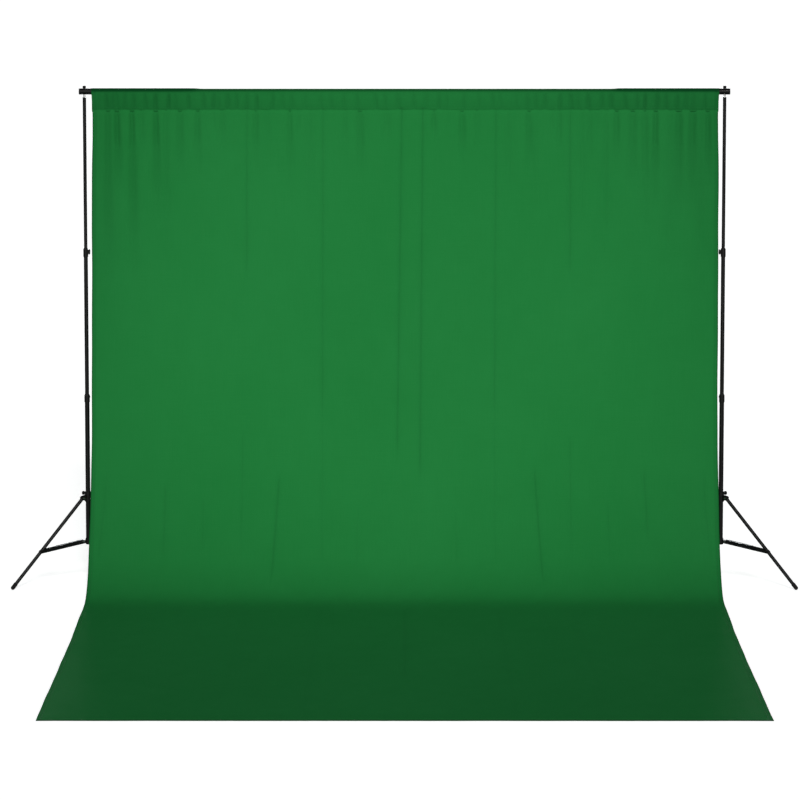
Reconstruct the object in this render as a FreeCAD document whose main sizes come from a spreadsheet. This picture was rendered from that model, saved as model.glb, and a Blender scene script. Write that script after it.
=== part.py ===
import FreeCAD, Part
# Background support system: two three-section light stands, a sectional crossbar between
# them and a cloth backdrop that hangs from the crossbar and sweeps forward over the floor.
# Millimetres, +Z up. The origin is on the floor at the centre of the footprint; the two
# stands and the crossbar stand in one plane at y = stand_back, the cloth runs towards -Y.
import math
import os

import Sketcher
from FreeCAD import Placement, Rotation, Vector

doc = FreeCAD.newDocument("background_support")
sheet = doc.addObject("Spreadsheet::Sheet", "dims")

# ---------------------------------------------------------------- driving dimensions
DIMS = {
    # overall layout
    "stand_offset": (1475.0, "stand axis from the middle, along X"),
    "floor_run": (3250.0, "front edge of the cloth from the stand plane"),
    # leg set
    "pivot_reach": (27.0, "leg and brace pivots from the stand axis"),
    "pivot_height": (402.0, "leg pivot height, legs open"),
    "hub_pivot_height": (198.0, "brace pivot height"),
    "foot_reach": (389.0, "foot centre from the stand axis"),
    "foot_lift": (9.25, "foot ball centre above the floor"),
    "foot_ball": (9.5, "foot ball radius"),
    "brace_reach": (243.0, "leg to brace joint from the stand axis"),
    "leg_od": (16.0, "leg tube outside diameter"),
    "leg_bore": (14.0, "leg tube inside diameter"),
    "leg_top": (6.0, "leg tube end above its pivot"),
    "pin_d": (5.0, "pivot pin diameter"),
    "pin_hole": (5.1, "running hole on a pivot pin"),
    "pin_head_d": (9.0, "pivot pin head diameter"),
    "pin_head": (2.0, "pivot pin head thickness"),
    # centre column
    "base_od": (22.0, "base tube outside diameter"),
    "base_bore": (20.0, "base tube inside diameter"),
    "base_start": (186.2, "base tube lower end"),
    "base_end": (864.0, "base tube upper end"),
    "mid_od": (19.0, "middle tube outside diameter"),
    "mid_bore": (17.0, "middle tube inside diameter"),
    "mid_start": (800.0, "middle tube lower end"),
    "mid_end": (1541.0, "middle tube upper end"),
    "top_od": (16.0, "top tube outside diameter"),
    "top_bore": (14.0, "top tube inside diameter"),
    "top_start": (1480.0, "top tube lower end"),
    "top_end": (2266.0, "top tube upper end"),
    # column clamps
    "lower_clamp_start": (851.0, "lower clamp underside"),
    "lower_clamp_end": (888.0, "lower clamp top"),
    "lower_clamp_screw": (874.0, "lower clamp screw height"),
    "lower_clamp_radius": (12.9, "lower clamp body radius"),
    "lower_clamp_boss": (14.6, "lower clamp boss face from the axis"),
    "lower_clamp_boss_half": (8.5, "lower clamp boss face, half its height"),
    "upper_clamp_start": (1529.0, "upper clamp underside"),
    "upper_clamp_end": (1569.0, "upper clamp top"),
    "upper_clamp_screw": (1552.0, "upper clamp screw height"),
    "upper_clamp_radius": (11.6, "upper clamp body radius"),
    "upper_clamp_boss": (13.2, "upper clamp boss face from the axis"),
    "upper_clamp_boss_half": (11.0, "upper clamp boss face, half its height"),
    # lower hub and leg collar
    "hub_start": (183.0, "lower hub underside"),
    "hub_end": (213.0, "lower hub top"),
    "hub_d": (27.0, "lower hub diameter"),
    "collar_d": (31.0, "leg collar diameter"),
    "collar_below": (17.0, "leg collar underside below the leg pivot"),
    "collar_above": (31.0, "leg collar top above the leg pivot"),
    "collar_screw": (21.0, "leg collar lock screw above the leg pivot"),
    "lug_width": (24.2, "leg collar lug width over the fork"),
    # knob heads, measured out from the column axis
    "lower_knob_start": (15.0, "lower knob head, inner face"),
    "lower_knob_end": (23.5, "lower knob head, outer face"),
    "lower_knob_radius": (8.5, "lower knob head radius"),
    "upper_knob_start": (13.5, "upper knob head, inner face"),
    "upper_knob_end": (20.4, "upper knob head, outer face"),
    "upper_knob_radius": (12.5, "upper knob head radius"),
    "leg_lock_knob_start": (19.4, "leg lock knob head, inner face"),
    "leg_lock_knob_end": (30.0, "leg lock knob head, outer face"),
    "leg_lock_knob_radius": (9.0, "leg lock knob head radius"),
    # brace channel
    "channel_gap": (17.2, "inside width between the flanges"),
    "channel_wall": (1.5, "channel wall thickness"),
    "channel_back": (9.5, "outside of the web from the pivot line"),
    "channel_lip": (8.5, "free edge of the flanges from the pivot line"),
    "web_end": (138.0, "end of the web, cut back to clear the leg"),
    # crossbar
    "bar_height": (2293.0, "crossbar axis height"),
    "bar_half": (1500.0, "half the crossbar length over its caps"),
    "cap_t": (2.5, "end cap thickness outside the tube"),
    "outer_od": (28.0, "outer section outside diameter"),
    "outer_bore": (25.6, "outer section inside diameter"),
    "inner_od": (23.0, "inner section outside diameter"),
    "inner_bore": (20.6, "inner section inside diameter"),
    "outer_left_len": (520.0, "left outer section, cap to mouth"),
    "outer_right_len": (500.0, "right outer section, cap to mouth"),
    "insert_len": (60.0, "inner section inside the outer one"),
    "spigot_bore": (17.0, "centre spigot inside diameter"),
    "spigot_len": (160.0, "centre spigot length"),
    "stud_hole": (8.6, "stud hole through the crossbar"),
    "stud_d": (8.0, "stud pin diameter"),
    # cloth
    "cloth_half": (1440.0, "half the cloth width"),
    "cloth_t": (1.0, "cloth solid thickness"),
    "sleeve_bottom": (2212.0, "seam under the rod sleeve"),
    "drop_bottom": (150.0, "level where the sweep begins"),
}

# clearances, on the diameter
CLOSE_FIT = 0.1  # plugs and sockets that stay put
SLIDE_FIT = 0.2  # clamps and guide bushes on a sliding tube
COLLAR_FIT = 0.3  # leg collar on the base tube
PIN_FIT = 0.04  # hub and collar holes on a pivot pin
# other shared sizes
TIP_GAP = 0.08  # knob screw tip to the tube it faces
SCREW_HOLE = 5.1  # diameter of the knob screw holes
BUSH_DROP = 8.0  # guide bush below the lower end of its tube
JOINT_GAP = 0.1  # each inner crossbar section from the middle
THROUGH = 200.0  # cut length that clears every piece


def fill_sheet(table, first_row):
    for row, (alias, (value, note)) in enumerate(table.items(), start=first_row):
        sheet.set(f"A{row}", note)
        sheet.set(f"B{row}", "%.9g" % value)
        sheet.setAlias(f"B{row}", alias)
    doc.recompute()


class Length:
    """A length that carries both its number and the sheet expression that drives it."""

    def __init__(self, value, text):
        self.value = float(value)
        self.text = text

    @staticmethod
    def of(size):
        return size if isinstance(size, Length) else Length(size, "%.9g" % size)

    def _with(self, other, symbol, operation):
        other = Length.of(other)
        text = f"({self.text} {symbol} {other.text})"
        return Length(operation(self.value, other.value), text)

    def __add__(self, other):
        return self._with(other, "+", float.__add__)

    def __sub__(self, other):
        return self._with(other, "-", float.__sub__)

    def __mul__(self, other):
        return self._with(other, "*", float.__mul__)

    def __truediv__(self, other):
        return self._with(other, "/", float.__truediv__)

    def __neg__(self):
        return self * -1


class SheetLengths:
    """Gives every sheet alias as an attribute."""

    def __getattr__(self, alias):
        return Length(sheet.get(alias), "dims." + alias)


dims = SheetLengths()


def group(prefix, *names):
    """The sheet lengths prefix_name, in the order of the names."""
    return [getattr(dims, f"{prefix}_{name}") for name in names]


def number(size):
    return size.value if isinstance(size, Length) else float(size)


def drive(obj, prop, size):
    """Bind a property to the sheet when its size comes from there."""
    if isinstance(size, Length):
        obj.setExpression(prop, size.text)


def leg_triangle():
    """Lengths and angles that follow from the leg triangle, for the sheet."""
    pivot = dims.pivot_reach.value
    pivot_height = dims.pivot_height.value
    hub_height = dims.hub_pivot_height.value
    foot_out = dims.foot_reach.value - pivot
    foot_down = pivot_height - dims.foot_lift.value
    joint_out = dims.brace_reach.value - pivot
    leg_angle = math.atan2(foot_out, foot_down)
    joint_span = joint_out / math.sin(leg_angle)
    joint_rise = pivot_height - joint_span * math.cos(leg_angle) - hub_height
    brace_angle = math.atan2(joint_out, joint_rise)
    stand_back = (dims.floor_run - dims.foot_reach - dims.foot_ball).value / 2
    return {
        "leg_span": (math.hypot(foot_out, foot_down), "leg pivot to foot ball centre"),
        "leg_angle": (math.degrees(leg_angle), "leg from the vertical, degrees"),
        "joint_span": (joint_span, "leg pivot to the brace joint"),
        "brace_span": (math.hypot(joint_out, joint_rise), "brace pivot to the leg joint"),
        "brace_angle": (math.degrees(brace_angle), "brace from straight up, degrees"),
        "stand_back": (stand_back, "stand plane behind the origin"),
    }


fill_sheet(DIMS, 1)
fill_sheet(leg_triangle(), len(DIMS) + 1)

PARTS = []  # every finished sub-part, one file each


def keep(obj, label):
    obj.Label = label
    PARTS.append(obj)
    return obj


# ---------------------------------------------------------------- placing
def place(obj, x, y, z, rotation=None):
    obj.Placement = Placement(Vector(number(x), number(y), number(z)), rotation or Rotation())
    for axis, size in (("x", x), ("y", y), ("z", z)):
        drive(obj, ".Placement.Base." + axis, size)


def turn(degrees, axis=(0, 0, 1)):
    return Rotation(Vector(*axis), degrees)


def radial(azimuth):
    """Level unit vector, azimuth in degrees from +X."""
    angle = math.radians(azimuth)
    return Vector(math.cos(angle), math.sin(angle), 0)


def facing(direction):
    """Rotation that points local +Z along a direction."""
    return Rotation(Vector(0, 0, 1), direction)


# ---------------------------------------------------------------- PartDesign helpers
def new_body(label):
    return keep(doc.addObject("PartDesign::Body", label), label)


def origin_feature(body, role):
    return next(f for f in body.Origin.OriginFeatures if f.Role == role)


def new_sketch(body, plane, offset):
    """Sketch on XY (faces +Z), XZ (faces -Y) or YZ (faces +X), moved by offset that way."""
    sketch = body.newObject("Sketcher::SketchObject", body.Name + "_sketch")
    sketch.AttachmentSupport = (origin_feature(body, plane + "_Plane"), [""])
    sketch.MapMode = "FlatFace"
    sketch.AttachmentOffset = Placement(Vector(0, 0, number(offset)), Rotation())
    drive(sketch, ".AttachmentOffset.Base.z", offset)
    return sketch


def fix_point(sketch, geometry, position, x, y):
    for kind, size, axis in (("DistanceX", x, -2), ("DistanceY", y, -1)):
        if not isinstance(size, Length) and size == 0:
            on_axis = Sketcher.Constraint("PointOnObject", geometry, position, axis)
            sketch.addConstraint(on_axis)
            continue
        distance = Sketcher.Constraint(kind, -1, 1, geometry, position, number(size))
        index = sketch.addConstraint(distance)
        drive(sketch, f"Constraints[{index}]", size)


def add_polygon(sketch, points):
    count = len(points)
    first = sketch.GeometryCount
    corners = [Vector(number(x), number(y), 0) for x, y in points]
    for i in range(count):
        sketch.addGeometry(Part.LineSegment(corners[i], corners[(i + 1) % count]), False)
    for i in range(count):
        following = first + (i + 1) % count
        sketch.addConstraint(Sketcher.Constraint("Coincident", first + i, 2, following, 1))
    for i, (x, y) in enumerate(points):
        fix_point(sketch, first + i, 1, x, y)


def add_circle(sketch, diameter, x=0, y=0):
    centre = Vector(number(x), number(y), 0)
    edge = Part.Circle(centre, Vector(0, 0, 1), number(diameter) / 2)
    geometry = sketch.addGeometry(edge, False)
    if number(x) == 0 and number(y) == 0:
        sketch.addConstraint(Sketcher.Constraint("Coincident", geometry, 3, -1, 1))
    else:
        fix_point(sketch, geometry, 3, x, y)
    index = sketch.addConstraint(Sketcher.Constraint("Diameter", geometry, number(diameter)))
    drive(sketch, f"Constraints[{index}]", diameter)


def polygons(body, plane, *outlines, offset=0):
    sketch = new_sketch(body, plane, offset)
    for points in outlines:
        add_polygon(sketch, points)
    return sketch


def circles(body, plane, *rings, offset=0):
    """Sketch of circles, each (diameter,) about the origin or (diameter, x, y)."""
    sketch = new_sketch(body, plane, offset)
    for ring in rings:
        add_circle(sketch, *ring)
    return sketch


def rectangle(left, right, bottom, top):
    return [(left, bottom), (right, bottom), (right, top), (left, top)]


def extrude(kind, body, sketch, length, symmetric, back):
    feature = body.newObject("PartDesign::" + kind, f"{body.Name}_{kind.lower()}")
    feature.Profile = sketch
    feature.Length = number(length)
    drive(feature, "Length", length)
    feature.SideType = "Symmetric" if symmetric else "One side"
    feature.Reversed = back
    return feature


def pad(body, sketch, length, symmetric=False, back=False):
    return extrude("Pad", body, sketch, length, symmetric, back)


def pocket(body, sketch, length=THROUGH, symmetric=False, back=False):
    """Cut against the sketch's facing direction, or along it with back."""
    return extrude("Pocket", body, sketch, length, symmetric, back)


def around(body, features, count):
    """Repeat features about the body's Z axis."""
    pattern = body.newObject("PartDesign::PolarPattern", body.Name + "_pattern")
    pattern.Originals = features
    pattern.Axis = (origin_feature(body, "Z_Axis"), [""])
    pattern.Angle = 360
    pattern.Occurrences = count
    body.Tip = pattern


def turned(label, profile):
    """Body turned about Z from a profile of (radius, height) points."""
    body = new_body(label)
    sketch = polygons(body, "XZ", profile)
    feature = body.newObject("PartDesign::Revolution", body.Name + "_turned")
    feature.Profile = sketch
    feature.ReferenceAxis = (sketch, ["V_Axis"])
    feature.Angle = 360
    return body


def cut_flutes(body, diameter, distance, start, count):
    """Round grooves along Z from start upwards, centred at distance from the axis."""
    sketch = circles(body, "XY", (diameter, distance, 0), offset=start)
    around(body, [pocket(body, sketch, back=True)], count)


# ---------------------------------------------------------------- Part helpers
def primitive(kind, name, position, rotation=None, **sizes):
    obj = doc.addObject("Part::" + kind, name)
    for prop, size in sizes.items():
        setattr(obj, prop, number(size))
        drive(obj, prop, size)
    place(obj, *position, rotation)
    return obj


def fuse(name, shapes):
    fused = doc.addObject("Part::MultiFuse", name)
    fused.Shapes = shapes
    return fused


def cut(name, base, tool):
    remainder = doc.addObject("Part::Cut", name)
    remainder.Base = base
    remainder.Tool = tool
    return remainder


# ---------------------------------------------------------------- column pieces
def tube(label, od, bore, length, plane="XY", hole=None):
    """Round tube from its lower or left end; hole = (diameter, distance) crosses it along Z."""
    body = new_body(label)
    pad(body, circles(body, plane, (od,), (bore,)), length)
    if hole:
        pocket(body, circles(body, "XY", (*hole, 0)), symmetric=True)
    return body


def knob(label, tip, start, end, radius):
    """Fluted screw knob on local +Z: shank from the tip, head from start to end."""
    shank = 2.45
    body = turned(label, [
        (0, tip), (1.6, tip), (shank, tip + 0.9), (shank, start),
        (radius * 0.62, start), (radius * 0.72, start + 1.2),
        (radius - 0.4, start + 2.2), (radius, start + 3.0),
        (radius, end - 2.0), (radius - 0.7, end - 0.8), (radius - 2.2, end), (0, end),
    ])
    cut_flutes(body, diameter=4.2, distance=radius + 0.9, start=start + 1.6, count=8)
    return body


def clamp(label, prefix, below, above):
    """Column clamp from its underside: stepped bore, tapered boss and screw hole towards +X.

    It sits on the end of the tube named below and grips the tube named above.
    """
    start, end, screw_height, radius = group(prefix, "start", "end", "screw", "radius")
    boss, boss_half = group(prefix, "boss", "boss_half")
    below_od, below_end = group(below, "od", "end")
    (above_od,) = group(above, "od")
    height = end - start
    screw = screw_height - start
    bore = above_od + SLIDE_FIT
    body = turned(label, [
        (0, 0), (radius - 1.0, 0), (radius, 1.2), (radius, height - 5.0),
        (radius - 0.8, height - 2.6), (bore / 2 + 1.3, height), (0, height),
    ])
    root_face = rectangle(-8.2, 8.2, 2.0, height - 3.0)
    root = polygons(body, "YZ", root_face, offset=5.0)
    boss_face = rectangle(-6.6, 6.6, screw - boss_half, screw + boss_half)
    face = polygons(body, "YZ", boss_face, offset=boss)
    loft = body.newObject("PartDesign::AdditiveLoft", body.Name + "_boss")
    loft.Profile = root
    loft.Sections = [face]
    loft.Ruled = True
    pocket(body, circles(body, "XY", (bore,)), symmetric=True)
    seat_depth = below_end - start + 0.2
    pocket(body, circles(body, "XY", (below_od + CLOSE_FIT,)), seat_depth, back=True)
    pocket(body, circles(body, "YZ", (SCREW_HOLE, 0, screw)), back=True)
    return body


def guide_bush(label, tube_below, own_tube, bore_radius, length):
    """Collar that runs in the tube below, with a plug up into its own tube's lower end."""
    (bore_below,) = group(tube_below, "bore")
    (own_bore,) = group(own_tube, "bore")
    collar_top = BUSH_DROP - 0.2
    collar_radius = (bore_below - SLIDE_FIT) / 2
    plug_radius = (own_bore - CLOSE_FIT) / 2
    return turned(label, [
        (bore_radius, 0), (bore_below / 2 - 0.5, 0), (collar_radius, 0.8),
        (collar_radius, collar_top), (plug_radius, collar_top), (plug_radius, length),
        (bore_radius, length),
    ])


def stud(label):
    """From the top tube's end: plug below, collar, neck under the bar and pin through it."""
    rise = dims.bar_height - dims.outer_od / 2 - dims.top_end
    pin_top = rise + dims.outer_od + 7.2
    plug_end = -30.0
    seat = 0.02  # collar underside, just clear of the tube end
    plug_radius = (dims.top_bore - CLOSE_FIT) / 2
    neck_radius = 4.9
    pin_radius = dims.stud_d / 2
    return turned(label, [
        (0, plug_end), (dims.top_bore / 2 - 0.4, plug_end), (plug_radius, plug_end + 1.0),
        (plug_radius, seat), (dims.top_od / 2, seat), (dims.top_od / 2, 1.6),
        (neck_radius, 2.2), (neck_radius, rise - 0.1), (pin_radius, rise - 0.1),
        (pin_radius, pin_top - 0.8), (pin_radius - 0.8, pin_top), (0, pin_top),
    ])


def thumb_nut(label):
    """Fluted nut, closed on top, over the end of the stud."""
    hole_radius = (dims.stud_d + CLOSE_FIT) / 2
    hole_top = 7.6
    body = turned(label, [
        (hole_radius, 0), (6.2, 0), (7.5, 1.0), (7.5, 9.6), (6.6, 11.2), (4.4, 12.2),
        (0, 12.4), (0, hole_top), (hole_radius, hole_top),
    ])
    cut_flutes(body, diameter=2.6, distance=8.1, start=1.4, count=12)
    return body


# ---------------------------------------------------------------- leg set pieces
def lower_hub(label):
    """Closed cup on the base tube's lower end with three tongues for the braces."""
    height = dims.hub_end - dims.hub_start
    pin = dims.hub_pivot_height - dims.hub_start
    radius = dims.hub_d / 2
    reach = dims.pivot_reach
    tongue_width = 16.4
    floor_thickness = 3.0
    body = turned(label, [
        (0, 0), (radius - 3.0, 0), (radius, 3.0), (radius, height - 2.0),
        (radius - 2.0, height), (0, height),
    ])
    outline = [
        (6.0, pin - 7.0), (reach + 3.0, pin - 7.0), (reach + 6.3, pin - 3.6),
        (reach + 6.3, pin + 3.6), (reach + 3.0, pin + 7.0), (6.0, pin + 7.0),
    ]
    tongue = pad(body, polygons(body, "XZ", outline), tongue_width, symmetric=True)
    pin_hole = circles(body, "XZ", (dims.pin_d + PIN_FIT, reach, pin))
    around(body, [tongue, pocket(body, pin_hole, symmetric=True)], 3)
    seat = circles(body, "XY", (dims.base_od + CLOSE_FIT,), offset=floor_thickness)
    pocket(body, seat, back=True)
    return body


def leg_collar(label):
    """Collar built about the leg pivot level: lock boss towards +X, three forked lugs."""
    bottom = -dims.collar_below
    top = dims.collar_above
    radius = dims.collar_d / 2
    reach = dims.pivot_reach
    boss_diameter = 13.0
    boss_end = 19.0
    body = turned(label, [
        (0, bottom), (radius - 1.5, bottom), (radius, bottom + 1.5), (radius, top - 2.5),
        (radius - 2.5, top), (0, top),
    ])
    pad(body, circles(body, "YZ", (boss_diameter, 0, dims.collar_screw)), boss_end)
    # the first lug points to -X, opposite the boss
    outline = [
        (-8.0, -11.0), (-(reach + 3.5), -9.0), (-(reach + 8.5), -4.0),
        (-(reach + 8.5), 4.0), (-(reach + 3.5), 9.0), (-8.0, 13.0),
    ]
    lug = pad(body, polygons(body, "XZ", outline), dims.lug_width, symmetric=True)
    fork = polygons(body, "XZ", rectangle(-60.0, -radius, -30.0, 30.0))
    slot = pocket(body, fork, dims.channel_gap, symmetric=True)
    pin_circle = circles(body, "XZ", (dims.pin_d + PIN_FIT, -reach, 0))
    pin_hole = pocket(body, pin_circle, symmetric=True)
    around(body, [lug, slot, pin_hole], 3)
    pocket(body, circles(body, "XY", (dims.base_od + COLLAR_FIT,)), symmetric=True)
    pocket(body, circles(body, "YZ", (SCREW_HOLE, 0, dims.collar_screw)), back=True)
    return body


def leg(label):
    """Round leg tube hanging from its pivot along local -Z, with two cross holes."""
    end_above_ball = 2.5
    body = new_body(label)
    section = circles(body, "XY", (dims.leg_od,), (dims.leg_bore,), offset=dims.leg_top)
    pad(body, section, dims.leg_span + dims.leg_top - end_above_ball, back=True)
    holes = circles(body, "XZ", (dims.pin_hole,), (dims.pin_hole, 0, -dims.joint_span))
    pocket(body, holes, symmetric=True)
    return body


def foot(label):
    """Tip over the leg end: round nose, flattened where it stands on the floor."""
    ball_z = -dims.leg_span
    ball_radius = dims.foot_ball
    barrel = primitive("Cylinder", label + "_barrel", (0, 0, ball_z),
                       Radius=ball_radius, Height=24.0)
    ball = primitive("Sphere", label + "_ball", (0, 0, ball_z), Radius=ball_radius)
    rim = primitive("Torus", label + "_rim", (0, 0, ball_z + 22.6), Radius1=9.3, Radius2=0.9)
    outside = fuse(label + "_solid", [barrel, ball, rim])
    socket = primitive("Cylinder", label + "_socket", (0, 0, ball_z + 2.0),
                       Radius=(dims.leg_od + CLOSE_FIT) / 2, Height=40.0)
    hollow = cut(label + "_hollow", outside, socket)
    # a block under floor level, turned into the frame of the leaning leg
    block = 40.0
    depth = 10.0
    level = turn(dims.leg_angle.value, (0, 1, 0))
    foot_x = (dims.foot_reach - dims.pivot_reach).value
    corner = Vector(foot_x - block / 2, -block / 2, -dims.pivot_height.value - depth)
    floor = primitive("Box", label + "_floor", level.multVec(corner), level,
                      Length=block, Width=block, Height=depth)
    return keep(cut(label, hollow, floor), label)


def brace(label):
    """U-channel along local +Z from its hub pivot, web on local -X, rivet heads at the far end."""
    wall = dims.channel_wall
    inner = dims.channel_gap / 2
    outer = inner + wall
    back = dims.channel_back
    lip = dims.channel_lip
    span = dims.brace_span
    overrun = 8.5  # channel ends beyond both pivots
    body = new_body(label)
    section = [
        (-back, -outer), (lip, -outer), (lip, -inner), (wall - back, -inner),
        (wall - back, inner), (lip, inner), (lip, outer), (-back, outer),
    ]
    pad(body, polygons(body, "XY", section, offset=-overrun), span + 2 * overrun)
    # the cuts run clear of the channel by 1 mm, and 0.1 mm past the web's inner face
    near = -overrun - 1.0
    far = span + overrun + 1.0
    behind = -back - 1.0
    web_inside = wall - back + 0.1
    leg_end = [
        (behind, dims.web_end), (web_inside, dims.web_end), (web_inside, span - 2.0),
        (-1.5, far), (behind, far),
    ]
    hub_end = [
        (behind, near), (-3.0, near), (web_inside, -3.0), (web_inside, 10.0), (behind, 10.0),
    ]
    far_corner = [(lip + 1.0, far), (3.0, far), (lip + 1.0, span + 3.0)]
    near_corner = [(lip + 1.0, near), (lip + 1.0, -3.0), (3.0, near)]
    cuts = polygons(body, "XZ", leg_end, hub_end, far_corner, near_corner)
    pocket(body, cuts, symmetric=True)
    pocket(body, circles(body, "XZ", (dims.pin_hole,)), symmetric=True)
    head_sink = 0.3  # the heads start inside the flange
    for side in (1, -1):
        # XZ sketches face -Y, so side 1 is the head on -Y
        head = circles(body, "XZ", (dims.pin_head_d, 0, span),
                       offset=(outer - head_sink) * side)
        pad(body, head, dims.pin_head + head_sink, back=(side < 0))
    return body


def pins(label, width):
    """Three headed pivot pins set round the column, one group of separate solids."""
    half = width.value / 2
    head = dims.pin_head
    pieces = []
    for k, azimuth in enumerate((90, 210, 330)):
        centre = radial(azimuth) * dims.pivot_reach.value
        tangent = radial(azimuth + 90)
        for piece, diameter, start, length in (
            ("shank", dims.pin_d, -half, width),
            ("head", dims.pin_head_d, half, head),
            ("tail", dims.pin_head_d, -half - head.value, head),
        ):
            pieces.append(primitive(
                "Cylinder", f"{label}_{piece}_{k}", centre + tangent * start,
                facing(tangent), Radius=diameter / 2, Height=length))
    return keep(fuse(label, pieces), label)


# ---------------------------------------------------------------- the two stands
# azimuths on the left stand; the right stand mirrors them
LEG_AZIMUTHS = {"outer": 210, "inner": 330, "rear": 90}
LOCK_AZIMUTH = 150
# clamp, tube it sits on, tube it grips, azimuth of its screw
CLAMPS = (("lower", "base", "mid", 75), ("upper", "mid", "top", 0))
# tube with the bush, tube it runs in, bush bore radius, bush length
BUSHES = (("mid", "base", 5.4, 26.0), ("top", "mid", 4.0, 24.0))


def build_stand(side, sign):
    x = dims.stand_offset * sign
    y = dims.stand_back

    def mirrored(azimuth):
        return azimuth if sign < 0 else (180 - azimuth) % 360

    def add_knob(name, gripped, height, azimuth):
        (od,) = group(gripped, "od")
        head = group(name, "start", "end", "radius")
        piece = knob(f"{side}_{name}", od / 2 + TIP_GAP, *head)
        place(piece, x, y, height, facing(radial(azimuth)))

    for section in ("base", "mid", "top"):
        od, bore, start, end = group(section, "od", "bore", "start", "end")
        place(tube(f"{side}_{section}_tube", od, bore, end - start), x, y, start)

    place(lower_hub(side + "_lower_hub"), x, y, dims.hub_start, turn(90))
    lock_azimuth = mirrored(LOCK_AZIMUTH)
    place(leg_collar(side + "_leg_collar"), x, y, dims.pivot_height, turn(lock_azimuth))
    add_knob("leg_lock_knob", "base", dims.pivot_height + dims.collar_screw, lock_azimuth)
    channel_width = dims.channel_gap + dims.channel_wall * 2
    place(pins(side + "_brace_rivets", channel_width + 0.2), x, y, dims.hub_pivot_height)
    place(pins(side + "_leg_rivets", dims.lug_width + 0.1), x, y, dims.pivot_height)

    for role, left_azimuth in LEG_AZIMUTHS.items():
        azimuth = mirrored(left_azimuth)
        outward = turn(azimuth)
        pivot_x = x + dims.pivot_reach * radial(azimuth).x
        pivot_y = y + dims.pivot_reach * radial(azimuth).y
        leg_tilt = outward.multiply(turn(-dims.leg_angle.value, (0, 1, 0)))
        brace_tilt = outward.multiply(turn(dims.brace_angle.value, (0, 1, 0)))
        for make, name, height, tilt in (
            (leg, "leg", dims.pivot_height, leg_tilt),
            (foot, "foot", dims.pivot_height, leg_tilt),
            (brace, "brace", dims.hub_pivot_height, brace_tilt),
        ):
            place(make(f"{side}_{name}_{role}"), pivot_x, pivot_y, height, tilt)

    for own_tube, tube_below, bore_radius, length in BUSHES:
        (start,) = group(own_tube, "start")
        bush = guide_bush(f"{side}_{own_tube}_bush", tube_below, own_tube, bore_radius, length)
        place(bush, x, y, start - BUSH_DROP)

    for level, below, above, left_azimuth in CLAMPS:
        prefix = level + "_clamp"
        start, screw = group(prefix, "start", "screw")
        azimuth = mirrored(left_azimuth)
        place(clamp(f"{side}_{prefix}", prefix, below, above), x, y, start, turn(azimuth))
        add_knob(level + "_knob", above, screw, azimuth)

    place(stud(side + "_stud"), x, y, dims.top_end)
    nut_height = dims.bar_height + dims.outer_od / 2 + 0.3
    place(thumb_nut(side + "_thumb_nut"), x, y, nut_height)


build_stand("left", -1)
build_stand("right", 1)


# ---------------------------------------------------------------- crossbar
def place_on_bar(obj, x):
    place(obj, x, dims.stand_back, dims.bar_height)


def compound_on_bar(label, pieces):
    compound = doc.addObject("Part::Compound", label)
    compound.Links = pieces
    place_on_bar(keep(compound, label), 0)


def crossbar_tubes(left_mouth, right_mouth):
    outer = (dims.outer_od, dims.outer_bore)
    inner = (dims.inner_od, dims.inner_bore)
    cap = dims.cap_t
    insert = dims.insert_len
    overhang = dims.bar_half - dims.stand_offset
    place_on_bar(
        tube("crossbar_outer_left", *outer, dims.outer_left_len - cap, "YZ",
             (dims.stud_hole, overhang - cap)),
        cap - dims.bar_half,
    )
    place_on_bar(
        tube("crossbar_outer_right", *outer, dims.outer_right_len - cap, "YZ",
             (dims.stud_hole, dims.outer_right_len - overhang)),
        right_mouth,
    )
    place_on_bar(
        tube("crossbar_inner_left", *inner, insert - left_mouth - JOINT_GAP, "YZ"),
        left_mouth - insert,
    )
    place_on_bar(
        tube("crossbar_inner_right", *inner, insert + right_mouth - JOINT_GAP, "YZ"),
        JOINT_GAP,
    )
    place_on_bar(
        tube("crossbar_centre_spigot", dims.inner_bore - CLOSE_FIT, dims.spigot_bore,
             dims.spigot_len, "YZ"),
        -dims.spigot_len / 2,
    )


def reducing_bush(side, mouth, inwards):
    """Bush that centres an inner section in an outer one's mouth; inwards is the sign of X."""
    name = "crossbar_reducing_bush_" + side
    spin = facing(Vector(inwards, 0, 0))
    plug_length = 40.0
    plug = primitive("Cylinder", name + "_plug", (mouth - inwards * plug_length, 0, 0), spin,
                     Radius=(dims.outer_bore - CLOSE_FIT) / 2, Height=plug_length)
    lip = primitive("Cone", name + "_lip", (mouth + inwards * 0.05, 0, 0), spin,
                    Radius1=dims.outer_od / 2, Radius2=12.6, Height=4.0)
    # the neck bridges the small gap between plug and lip
    neck = primitive("Cylinder", name + "_neck", (mouth - inwards * 1.0, 0, 0), spin,
                     Radius=12.4, Height=2.0)
    whole = fuse(name + "_whole", [plug, neck, lip])
    way = primitive("Cylinder", name + "_way", (mouth - inwards * 50.0, 0, 0), spin,
                    Radius=(dims.inner_od + CLOSE_FIT) / 2, Height=80.0)
    return cut(name, whole, way)


def end_cap(side, inwards):
    """Disc over a tube end with a hollow plug inside it; inwards is the sign of X."""
    name = "crossbar_end_cap_" + side
    spin = facing(Vector(inwards, 0, 0))
    end = dims.bar_half * -inwards
    disc = primitive("Cylinder", name + "_disc", (end, 0, 0), spin,
                     Radius=dims.outer_od / 2, Height=dims.cap_t - 0.05)
    plug = primitive("Cylinder", name + "_plug", (end, 0, 0), spin,
                     Radius=(dims.outer_bore - CLOSE_FIT) / 2, Height=15.0)
    whole = fuse(name + "_whole", [disc, plug])
    hollow = primitive("Cylinder", name + "_hollow", (end + dims.cap_t * inwards, 0, 0), spin,
                       Radius=10.6, Height=20.0)
    return cut(name + "_open", whole, hollow)


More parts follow.
